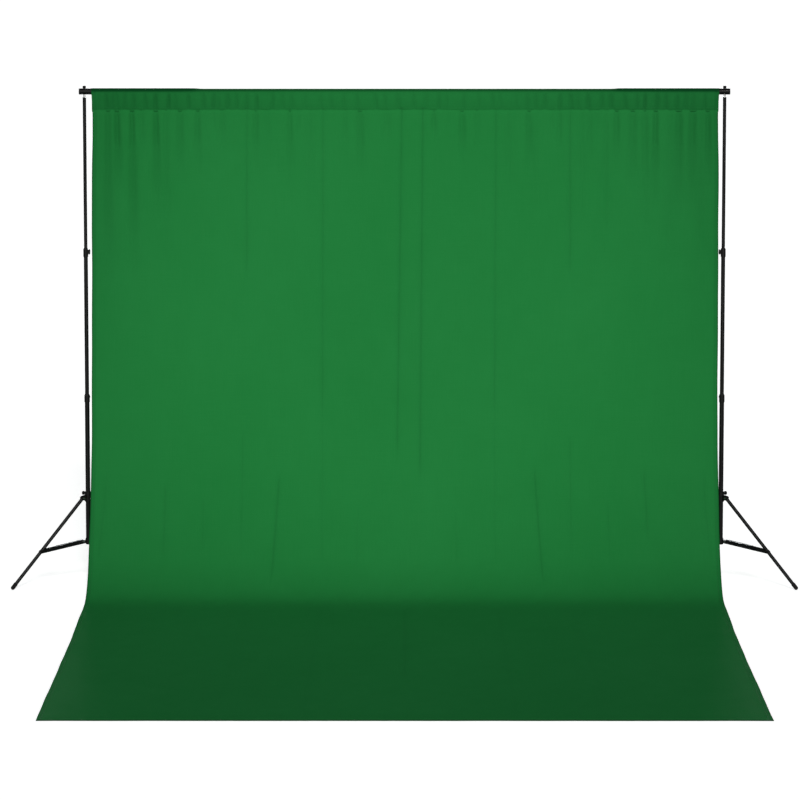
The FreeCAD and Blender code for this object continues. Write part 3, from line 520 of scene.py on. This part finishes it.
def gathers(x, t):
    """Depth of the gathers in the sleeve's front, on its back, and below the seam."""
    k = front_share(t)
    front, behind, below = np.zeros_like(x), np.zeros_like(x), np.zeros_like(x)
    for (place, deep), lean, width in zip(SLEEVE_VALLEYS, SLEEVE_LEANS, SLEEVE_WIDTHS):
        front += deep * bell(x - place - lean * (k - 0.5), width)
    for place, deep in BACK_VALLEYS:
        behind += deep * bell(x - place, BACK_WIDTH)
    down = np.clip(t, 0, None)
    widen = 1 + 0.8 * np.minimum(down / 0.5, 1.5)
    start = 0.55 + 0.45 * ramp(down, 0, 0.05)
    for (place, deep, length), lean, width in zip(DROP_VALLEYS, DROP_LEANS, DROP_WIDTHS):
        centre = place + lean * np.minimum(down, length)
        fade = 1 - ramp(down, 0.40 * length, 1.30 * length)
        below += deep * bell(x - centre, width * widen) * fade * start
    return np.minimum(front, 1.5), np.minimum(behind, 1.5), below


def crease_lines(x, t):
    """For each long crease, how far away it is and how deep it is at x and t."""
    for x_0, x_1, t_0, t_1, deep in CREASES:
        centre = x_0 + (x_1 - x_0) * np.clip((t - t_0) / (t_1 - t_0), 0, 1)
        live = ramp(t, t_0 - 0.03, t_0 + 0.05) * (1 - ramp(t, t_1 - 0.12, t_1 + 0.03))
        if t_0 < 0:   # shallower where it starts in the sleeve
            live = live * (0.3 + 0.7 * ramp(t, -0.05, 0.02))
        yield np.abs(x - centre), deep * live


# how far each kind of wrinkle moves the cloth out or in
FRONT_RISE = 0.0050      # sleeve front, between its gathers
BACK_RISE = 0.0034       # sleeve back, between its gathers
DROP_DEPTH = 0.0066      # gathers below the seam
CORNER_DEPTH = 0.0030    # added to those towards the sides
DROP_FULLNESS = 0.0030   # the whole cloth just below the seam
CREASE_LINE = 0.0021     # a crease's sharp line
CREASE_DIP = 0.0009      # the soft dip around it
SWELL_HEIGHT = 0.0011
RIPPLE_HEIGHT = 0.00010
EDGE_TURN = -0.0022      # the side edges turn back
FLOOR_SOFTNESS = 0.00035   # rounding where the floor stops the cloth


def wrinkles(x, t):
    """How far the cloth stands out from its middle line at x and t."""
    down = np.clip(t, 0, None)
    hanging = t > 0
    front, behind, below = gathers(x, t)
    # sleeve front: held in a little at the seam and near the bar
    at_front = ramp(t, T_OVER - 0.10, T_OVER + 0.16)
    near_seam = np.where(t <= 0, 1 - 0.30 * ramp(t, -0.10, 0.0), 0)
    from_bar = 0.50 + 0.50 * ramp(front_share(t), 0.0, 0.45)
    out = FRONT_RISE * (1 - 0.92 * front) * at_front * near_seam * from_bar
    # sleeve back
    at_back = (1 - ramp(t, T_BACK - 0.12, T_BACK + 0.10)) * ramp(t, -0.93, -0.85)
    out += BACK_RISE * (1 - 0.9 * behind) * at_back
    # gathers below the seam
    corner = ramp(np.abs(x), 0.55, 1.35)
    out -= (DROP_DEPTH + CORNER_DEPTH * corner) * below * hanging
    out += DROP_FULLNESS * np.exp(-down / 0.22) * ramp(down, 0, 0.02) * hanging
    # long creases: a sharp line with the cloth rising softly away from it
    for away, deep in crease_lines(x, t):
        out -= deep * (CREASE_LINE * np.exp(-away / 0.0042) + CREASE_DIP * bell(away, 0.022))
    # slow swells across the hanging part, weaker in the cove
    swell_share = ramp(down, 0.15, 1.1) * hanging * (1 - 0.75 * ramp(down, 1.9, 2.5))
    out += SWELL_HEIGHT * waves(SWELLS, x, down) * swell_share
    # small ripples everywhere in front of the bar
    metres = np.where(t < 0, t * SLEEVE_METRES, t)
    ripple_share = np.where(t < T_OVER + 0.05, 0.0, 1.0) * (1 - 0.55 * ramp(down, 2.3, 2.9))
    out += RIPPLE_HEIGHT * waves(RIPPLES, x, metres) * ripple_share
    # the side edges turn back slightly, by an amount that varies down the cloth
    from_edge = np.clip(1.4465 - np.abs(x), 0, None)
    turn = EDGE_TURN + 0.0012 * np.sin(3.1 * down + np.sign(x)) + 0.0006 * np.sin(11.0 * down)
    turn_share = ramp(down, 0.02, 0.2) * (1 - ramp(down, 2.3, 2.6))
    out += turn * np.exp(-from_edge / 0.010) * turn_share
    # on the floor the cloth can only rise
    floor = ramp(down, 2.35, 2.75)
    lift = np.log1p(np.exp(np.clip(out / FLOOR_SOFTNESS, -30, 30))) * FLOOR_SOFTNESS * 0.55
    return out * (1 - floor) + lift * floor


SLEEVE_METRES = 0.28   # length that texture and ripples give to the whole sleeve


def off_level(t):
    """0 on the rows where parts meet, which lie level so that they stay closed; 1 elsewhere."""
    out = np.ones_like(t, dtype=float)
    for meeting in (TOP_T, MID_T, LOW_T):
        out = out * (1 - bell(t - meeting, 0.022))
    return out


def surface(u, t):
    """The cloth's middle surface: u is the fraction across from -1 to 1."""
    x = across(u, t)
    out = wrinkles(x, t)
    forward, z = base_line(x, t)
    out_d, out_z = outward(x, t)
    return np.stack([x, PLANE_Y - (forward + out * out_d), z + out * out_z * off_level(t)], -1)


def frame_at(u, t):
    """Point and outward normal by central differences."""
    eu, et = 0.0006, np.where(t < 0, 0.003, 0.0015)
    du = surface(u + eu, t) - surface(u - eu, t)
    dt = surface(u, np.minimum(t + et, LENGTH)) - surface(u, np.maximum(t - et, -1))
    normal = np.cross(du, dt)
    normal /= np.linalg.norm(normal, axis=-1, keepdims=True) + 1e-15
    # du runs to +X and dt down the front, so their product faces back
    return surface(u, t), -normal


# ------------------------------------------------------------------ rows and columns
def rows_of(marks):
    """Rows from (t, row spacing from there on) marks; the last mark only ends the run."""
    out = [marks[0][0]]
    for (start, step), (end, _) in zip(marks[:-1], marks[1:]):
        n = max(1, int(round((end - start) / step)))
        out += list(start + (end - start) * np.arange(1, n + 1) / n)
    return np.array(out)


ROWS_SLEEVE = rows_of([
    (-1.0, 0.035), (T_TAIL, 0.034), (T_BACK, 0.020), (T_OVER, 0.024), (-0.03, 0.010),
    (0.0, 0.004), (0.012, 0.0065), (0.10, 0.010), (TOP_T, 1)])
ROWS_UPPER = rows_of([(TOP_T, 0.015), (TOP_T + 0.21, 0.028), (MID_T, 1)])
ROWS_LOWER = rows_of([(MID_T, 0.028), (LOW_T - 0.20, 0.018), (LOW_T, 1)])
ROWS_FLOOR = rows_of([
    (LOW_T, 0.014), (2.45, 0.022), (2.85, 0.045), (LENGTH - 0.050, 0.012),
    (LENGTH - 0.024, 0.0012), (LENGTH - 0.0192, 0.006), (LENGTH - 0.0024, 0.0012), (LENGTH, 1)])

# columns at the side hems, as distances from the edge
HEM_COLUMNS = [0.0, 0.0010, 0.0030, 0.0075, 0.0130, 0.0180, 0.0200, 0.0212, 0.0260, 0.0340]


def columns(step, least_gap=0.0017):
    """Fractions across, closer together at creases and hems."""
    xs = list(np.linspace(-1.40, 1.40, int(2.8 / step) + 1))
    for crease in CREASES:
        low, high = sorted(crease[:2])
        xs += list(np.arange(low - 0.0105, high + 0.0106, 0.0030))
    xs = sorted(xs)
    keep = [xs[0]]
    for x in xs[1:]:
        if x - keep[-1] > least_gap:
            keep.append(x)
    left = [-HALF_WIDTH + inset for inset in HEM_COLUMNS]
    right = [HALF_WIDTH - inset for inset in reversed(HEM_COLUMNS)]
    return np.array(left + [x for x in keep if -1.405 < x < 1.405] + right) / HALF_WIDTH


def refine(coarse, step):
    """Every coarse interval split evenly; also returns where the coarse columns are."""
    out, shared = [coarse[0]], [0]
    for a, b in zip(coarse[:-1], coarse[1:]):
        n = max(1, int(math.ceil((b - a) * HALF_WIDTH / step)))
        out += list(a + (b - a) * np.arange(1, n + 1) / n)
        shared.append(len(out) - 1)
    return np.array(out), np.array(shared)


COARSE = columns(step=0.0130)
FINE, SHARED = refine(COARSE, step=0.0042)

# ------------------------------------------------------------------ thickness and painted shade
FLOOR_T = 2.3       # from here on the folded layers thicken the cloth upwards
HEM_BACK = 0.0011   # added behind a hem where it hangs
HEM_LIFT = 0.0009   # added on top of a hem on the floor


def layers(u, t):
    """Back face's distance behind the middle surface, front face's lift, and the painted shade."""
    side = (1 - np.abs(u)) * HALF_WIDTH
    hem = 1 - ramp(side, HEM_W - 0.0012, HEM_W)
    front_hem = ramp(t, LENGTH - 0.0216, LENGTH - 0.0204)
    doubled = np.maximum(hem, front_hem)
    back = CLOTH_T / 2 + np.where(t > FLOOR_T, 0.0, doubled * HEM_BACK)
    lift = np.where(t > FLOOR_T, doubled * HEM_LIFT, 0.0)
    # painted shade: the doubled hems darker, as if less light came through them, and a dark line
    # on the very edge of the side hems below the seam, where that edge turns away from the light
    shade = 0.10 * hem + 0.08 * front_hem
    lip = np.exp(-side / 0.0030)
    shade = shade + 0.74 * lip * ramp(t, 0.0, 0.03) * (1 - 0.6 * ramp(t, 2.2, 2.6))
    # painted shade in the bottoms of the gathers, more so at the sides
    x = across(u, t)
    front, _, below = gathers(x, t)
    nominal = np.abs(u) * HALF_WIDTH
    outer = ramp(nominal, 0.30, 1.30)
    on_sleeve = t <= 0
    shade = shade + ((0.070 + 0.048 * outer) * front
                     * ramp(t, T_OVER - 0.02, T_OVER + 0.06) * on_sleeve)
    shade = shade + ((0.074 + 0.042 * outer) * np.minimum(below, 1.6) * ~on_sleeve
                     * (0.5 + 0.5 * ramp(t, 0.0, 0.09)))
    # painted shade along the long creases
    for away, deep in crease_lines(x, t):
        shade = shade + (0.110 * np.exp(-away / 0.0036) + 0.028 * bell(away, 0.014)) * deep
    # painted shade, darker along the front end of the floor run
    shade = shade + 0.60 * np.exp(-np.clip(LENGTH - t, 0, None) / 0.010)
    # painted shade on the whole sleeve, more at the sides, darkest on its crest, which faces away
    # from the light, and there most of all over the bar's wider sections
    crest = ramp(t, -0.66, -0.58) * (1 - ramp(t, -0.405, -0.345))
    thick = ramp(nominal, 0.94, 1.02)
    sleeve_painted_shade = 0.15 + 0.08 * outer + (0.56 + 0.24 * thick) * crest
    # painted shade in the upper corners below the seam, where less light falls
    corner_painted_shade = 0.08 * ramp(np.abs(u), 0.86, 1.0) * (1 - ramp(np.clip(t, 0, None), 0.2, 1.5))
    shade = shade + np.where(on_sleeve, sleeve_painted_shade, corner_painted_shade)
    return back, lift, np.clip(shade, 0, 0.90)


# ------------------------------------------------------------------ stitches
STITCH_PITCH = 0.0055
STITCH_LENGTH, STITCH_WIDTH, STITCH_HEIGHT = 0.0034, 0.00085, 0.00055
STITCH_SINK = 0.00010       # how far a stitch sits in the cloth
SIDE_STITCH_INSET = 0.0178  # from the side edges
# lines across the cloth: how far they reach to each side, t
SEAM_LINES = [(1.432, 0.0026), (1.432, -0.030)]
FRONT_HEM_LINE = (1.423, LENGTH - 0.0180)
# base corners 0-3, ridge ends 4 and 5
STITCH_FACES = [(0, 3, 2, 1), (0, 1, 5, 4), (2, 3, 4, 5), (1, 2, 5), (3, 0, 4)]


def stitch_corners(points, normals, along):
    """Corners of closed, roof-shaped stitches."""
    ahead = along / (np.linalg.norm(along, axis=1, keepdims=True) + 1e-12)
    long = ahead * STITCH_LENGTH / 2
    wide = np.cross(normals, ahead) * STITCH_WIDTH / 2
    base = points - normals * STITCH_SINK
    top = points + normals * STITCH_HEIGHT
    return np.stack([base - long - wide, base + long - wide, base + long + wide,
                     base - long + wide, top - long * 0.55, top + long * 0.55], 1)


def stitch_lines(t_from, t_to):
    """Vertices, faces and UVs of the stitches on the sheet between two distances."""
    lines = []
    for side in (-1, 1):
        ts = np.arange(max(t_from, 0.006) + 0.0025, t_to - 0.002, STITCH_PITCH)
        us = np.full(len(ts), side * (1 - SIDE_STITCH_INSET / HALF_WIDTH))
        lines.append((us, ts, True))
    crosswise = SEAM_LINES if t_from < 0 else []
    if t_to >= LENGTH:
        crosswise = crosswise + [FRONT_HEM_LINE]
    for reach, t in crosswise:
        us = np.arange(-reach, reach, STITCH_PITCH) / HALF_WIDTH
        lines.append((us, np.full(len(us), t), False))
    verts, uvs = [], []
    e = 0.0008
    for us, ts, lengthwise in lines:
        point, normal = frame_at(us, ts)
        if lengthwise:
            ahead = surface(us, np.minimum(ts + e, LENGTH))
        else:
            ahead = surface(us + e, ts)
        _, lift, _ = layers(us, ts)
        on_face = point + normal * (CLOTH_T / 2 + lift)[:, None]
        verts.append(stitch_corners(on_face, normal, ahead - point).reshape(-1, 3))
        uvs.append(np.repeat(np.stack([us * HALF_WIDTH, ts], 1), 6, axis=0))
    verts = np.concatenate(verts)
    faces = [tuple(start + i for i in face)
             for start in range(0, len(verts), 6) for face in STITCH_FACES]
    return verts, faces, np.concatenate(uvs)


# ------------------------------------------------------------------ cloth pieces
LOWEST_Z = 0.00015      # the back face never goes below this
BACK_UV_SHIFT = 0.00055   # half a thread pitch


def sheet_faces(index, off, close_top, close_bottom):
    """Quads of the front face, the back face and the closed edges; off leads to the back."""
    a, b, c, d = index[:-1, :-1], index[:-1, 1:], index[1:, 1:], index[1:, :-1]
    faces = np.stack([a, d, c, b], -1).reshape(-1, 4).tolist()
    faces += (np.stack([a, b, c, d], -1) + off).reshape(-1, 4).tolist()
    for column, flip in ((0, False), (-1, True)):
        start, end = index[:-1, column], index[1:, column]
        quads = np.stack([start, start + off, end + off, end], -1)
        faces += (quads[:, ::-1] if flip else quads).tolist()
    if close_top:
        start, end = index[0, :-1], index[0, 1:]
        faces += np.stack([start, end, end + off, start + off], -1).tolist()
    if close_bottom:
        start, end = index[-1, :-1], index[-1, 1:]
        faces += np.stack([start, start + off, end + off, end], -1).tolist()
    return faces


def cloth_piece(name, us, ts, close_top=False, close_bottom=False, shared=None):
    """One part of the cloth: front and back faces, closed outer edges, and its stitches."""
    U, T = np.meshgrid(us, ts)
    point, normal = frame_at(U, T)
    if shared is not None:
        # points of the last row lie straight between shared ones, so that the next piece,
        # which has only the shared ones, meets it with no gap
        for values in (point, normal):
            for k in range(3):
                values[-1, :, k] = np.interp(us, us[shared], values[-1, shared, k])
    back, lift, shade = layers(U, T)
    way = normal.copy()
    way[..., 2] *= off_level(T)
    way /= np.linalg.norm(way, axis=-1, keepdims=True)
    front = point + way * (CLOTH_T / 2 + lift)[..., None]
    rear = point - way * back[..., None]
    rear[..., 2] = np.maximum(rear[..., 2], LOWEST_Z)

    off = U.size
    index = np.arange(off).reshape(U.shape)
    faces = sheet_faces(index, off, close_top, close_bottom)
    cloth_faces = len(faces)
    uv = np.stack([U * HALF_WIDTH, np.where(T < 0, T * SLEEVE_METRES, T)], -1).reshape(-1, 2)
    stitch_verts, stitch_faces, stitch_uv = stitch_lines(
        ts[0], LENGTH if close_bottom else ts[-1])
    faces += [tuple(i + 2 * off for i in face) for face in stitch_faces]
    verts = np.concatenate([front.reshape(-1, 3), rear.reshape(-1, 3), stitch_verts])
    uv = np.concatenate([uv, uv + BACK_UV_SHIFT, stitch_uv])
    # painted shade per vertex for both faces of the sheet; none on the stitches
    dark = np.concatenate([shade.ravel(), shade.ravel(), np.zeros(len(stitch_verts))])

    mesh = bpy.data.meshes.new(name)
    mesh.from_pydata(verts.tolist(), [], faces)
    mesh.materials.append(CLOTH)
    mesh.materials.append(THREAD)
    slot = np.zeros(len(mesh.polygons), np.int32)
    slot[cloth_faces:] = 1
    mesh.polygons.foreach_set("material_index", slot)
    mesh.polygons.foreach_set("use_smooth", slot == 0)
    layer = mesh.uv_layers.new(name="Cloth")
    corner = np.empty(len(mesh.loops), np.int32)
    mesh.loops.foreach_get("vertex_index", corner)
    layer.data.foreach_set("uv", uv[corner].astype(np.float32).ravel())
    attribute = mesh.attributes.new("shade", "FLOAT", "POINT")
    attribute.data.foreach_set("value", dark.astype(np.float32))
    mesh.update()

    # the meeting rows take the sheet's own normals, so that no line shows between pieces
    normals = np.empty(len(mesh.vertices) * 3, np.float32)
    mesh.vertex_normals.foreach_get("vector", normals)
    normals = normals.reshape(-1, 3)
    for row, closed in ((0, close_top), (-1, close_bottom)):
        if not closed:
            normals[index[row, 1:-1]] = normal[row, 1:-1]
            normals[index[row, 1:-1] + off] = -normal[row, 1:-1]
    per_loop = normals[corner]
    loop_slot = np.repeat(slot, [len(face.vertices) for face in mesh.polygons])
    per_loop[loop_slot == 1] = 0.0   # zero leaves a stitch's own flat faces as they are
    mesh.normals_split_custom_set(per_loop.tolist())
    obj = bpy.data.objects.new(name, mesh)
    scene.collection.objects.link(obj)
    return obj


sleeve = cloth_piece("backdrop_sleeve", FINE, ROWS_SLEEVE, close_top=True, shared=SHARED)
upper = cloth_piece("backdrop_hang_upper", COARSE, ROWS_UPPER)
lower = cloth_piece("backdrop_hang_lower", COARSE, ROWS_LOWER)
run = cloth_piece("backdrop_floor_run", COARSE, ROWS_FLOOR, close_bottom=True)

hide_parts("backdrop_drop")
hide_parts("backdrop_sweep")
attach(sleeve, "crossbar")
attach(upper, "left_mid")
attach(lower, "left_base")
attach(run, "left_base")
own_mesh(upper)
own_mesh(lower)

# ------------------------------------------------------------------ floor and world
WHITE = (1.0, 1.0, 1.0)


def stage_floor(half=240.0, z=-0.0006):
    """A pale floor that glows only when the camera sees it directly."""
    mesh = bpy.data.meshes.new("studio_floor")
    corners = [(-half, -half, z), (half, -half, z), (half, half, z), (-half, half, z)]
    mesh.from_pydata(corners, [], [(0, 1, 2, 3)])
    obj = bpy.data.objects.new("studio_floor", mesh)
    scene.collection.objects.link(obj)
    m = new_shader("studio_floor")
    tone = m.noise(m.object_space(), scale=0.6, detail=3.0)
    colour = m.mix(tone, low=(0.86, 0.86, 0.86), high=(0.88, 0.88, 0.88))
    diffuse = m.add("ShaderNodeBsdfDiffuse", Color=colour).outputs[0]
    glow = m.add("ShaderNodeEmission", Color=WHITE, Strength=0.72).outputs[0]
    dark = m.add("ShaderNodeEmission", Color=WHITE, Strength=0.0).outputs[0]
    seen = m.add("ShaderNodeLightPath").outputs["Is Camera Ray"]
    pick = m.join("ShaderNodeMixShader", seen, dark, glow)
    both = m.join("ShaderNodeAddShader", diffuse, pick)
    m.add("ShaderNodeOutputMaterial", Surface=both)
    mesh.materials.append(m.owner)


def studio_world():
    """White to the camera, a dim cool fill to everything else."""
    scene.world = bpy.data.worlds.new("studio")
    w = Shader(scene.world)
    seen = w.add("ShaderNodeLightPath").outputs["Is Camera Ray"]
    white = w.add("ShaderNodeBackground", Color=(0.99, 0.99, 0.99), Strength=1.0).outputs[0]
    fill = w.add("ShaderNodeBackground", Color=(0.90, 0.97, 1.0), Strength=0.15).outputs[0]
    w.add("ShaderNodeOutputWorld", Surface=w.join("ShaderNodeMixShader", seen, fill, white))


stage_floor()
studio_world()


# ------------------------------------------------------------------ lights
def lamp(name, kind, direction, place=(0.0, 0.0, 0.0), **settings):
    data = bpy.data.lights.new(name, kind)
    for key, value in settings.items():
        setattr(data, key, value)
    obj = bpy.data.objects.new(name, data)
    scene.collection.objects.link(obj)
    obj.location = place
    obj.rotation_mode = "QUATERNION"
    obj.rotation_quaternion = direction.to_track_quat("-Z", "Y")
    return obj


def far_light(name, azimuth, elevation, power, colour, spread):
    """A distant lamp, angles in degrees: azimuth 0 shines along +Y, elevation is above level."""
    a, e = math.radians(azimuth), math.radians(elevation)
    way = Vector((math.sin(a) * math.cos(e), math.cos(a) * math.cos(e), -math.sin(e)))
    lamp(name, "SUN", way, energy=power, color=colour, angle=math.radians(spread))


far_light("key", azimuth=-6.0, elevation=27.0, power=1.42, colour=(1.0, 0.985, 0.96), spread=9.0)
far_light("behind", azimuth=180.0, elevation=12.0, power=0.85, colour=(0.95, 0.98, 1.0),
          spread=12.0)
POOL_PLACE, POOL_AIM = (0.0, -16.0, 3.6), (0.0, 1.42, 1.30)
pool = lamp("pool", "SPOT", Vector(POOL_AIM) - Vector(POOL_PLACE), place=POOL_PLACE,
            energy=5000.0, color=(1.0, 0.96, 0.90), shadow_soft_size=0.5,
            spot_size=math.radians(15.5), spot_blend=1.0)
pool.visible_camera = False

# ------------------------------------------------------------------ camera
CAMERA_AWAY = 19.237                    # in front of the stands
CAMERA_X, CAMERA_Z = -0.0059, 3.2331
CAMERA_TILT, CAMERA_YAW = math.radians(7.0290), math.radians(0.0441)   # down, to the left

camera_data = bpy.data.cameras.new("camera")
camera = bpy.data.objects.new("camera", camera_data)
scene.collection.objects.link(camera)
camera_data.sensor_width = 36.0   # millimetres, as is the lens
camera_data.lens = 187.6455
camera_data.clip_start = 0.5
camera_data.clip_end = 400.0
camera.location = (CAMERA_X, PLANE_Y - CAMERA_AWAY, CAMERA_Z)
camera.rotation_mode = "XYZ"
camera.rotation_euler = (math.pi / 2 - CAMERA_TILT, 0.0, CAMERA_YAW)
scene.camera = camera

scene.view_settings.view_transform = "Standard"
scene.view_settings.look = "None"
scene.view_settings.exposure = 0.0
scene.view_settings.gamma = 1.0
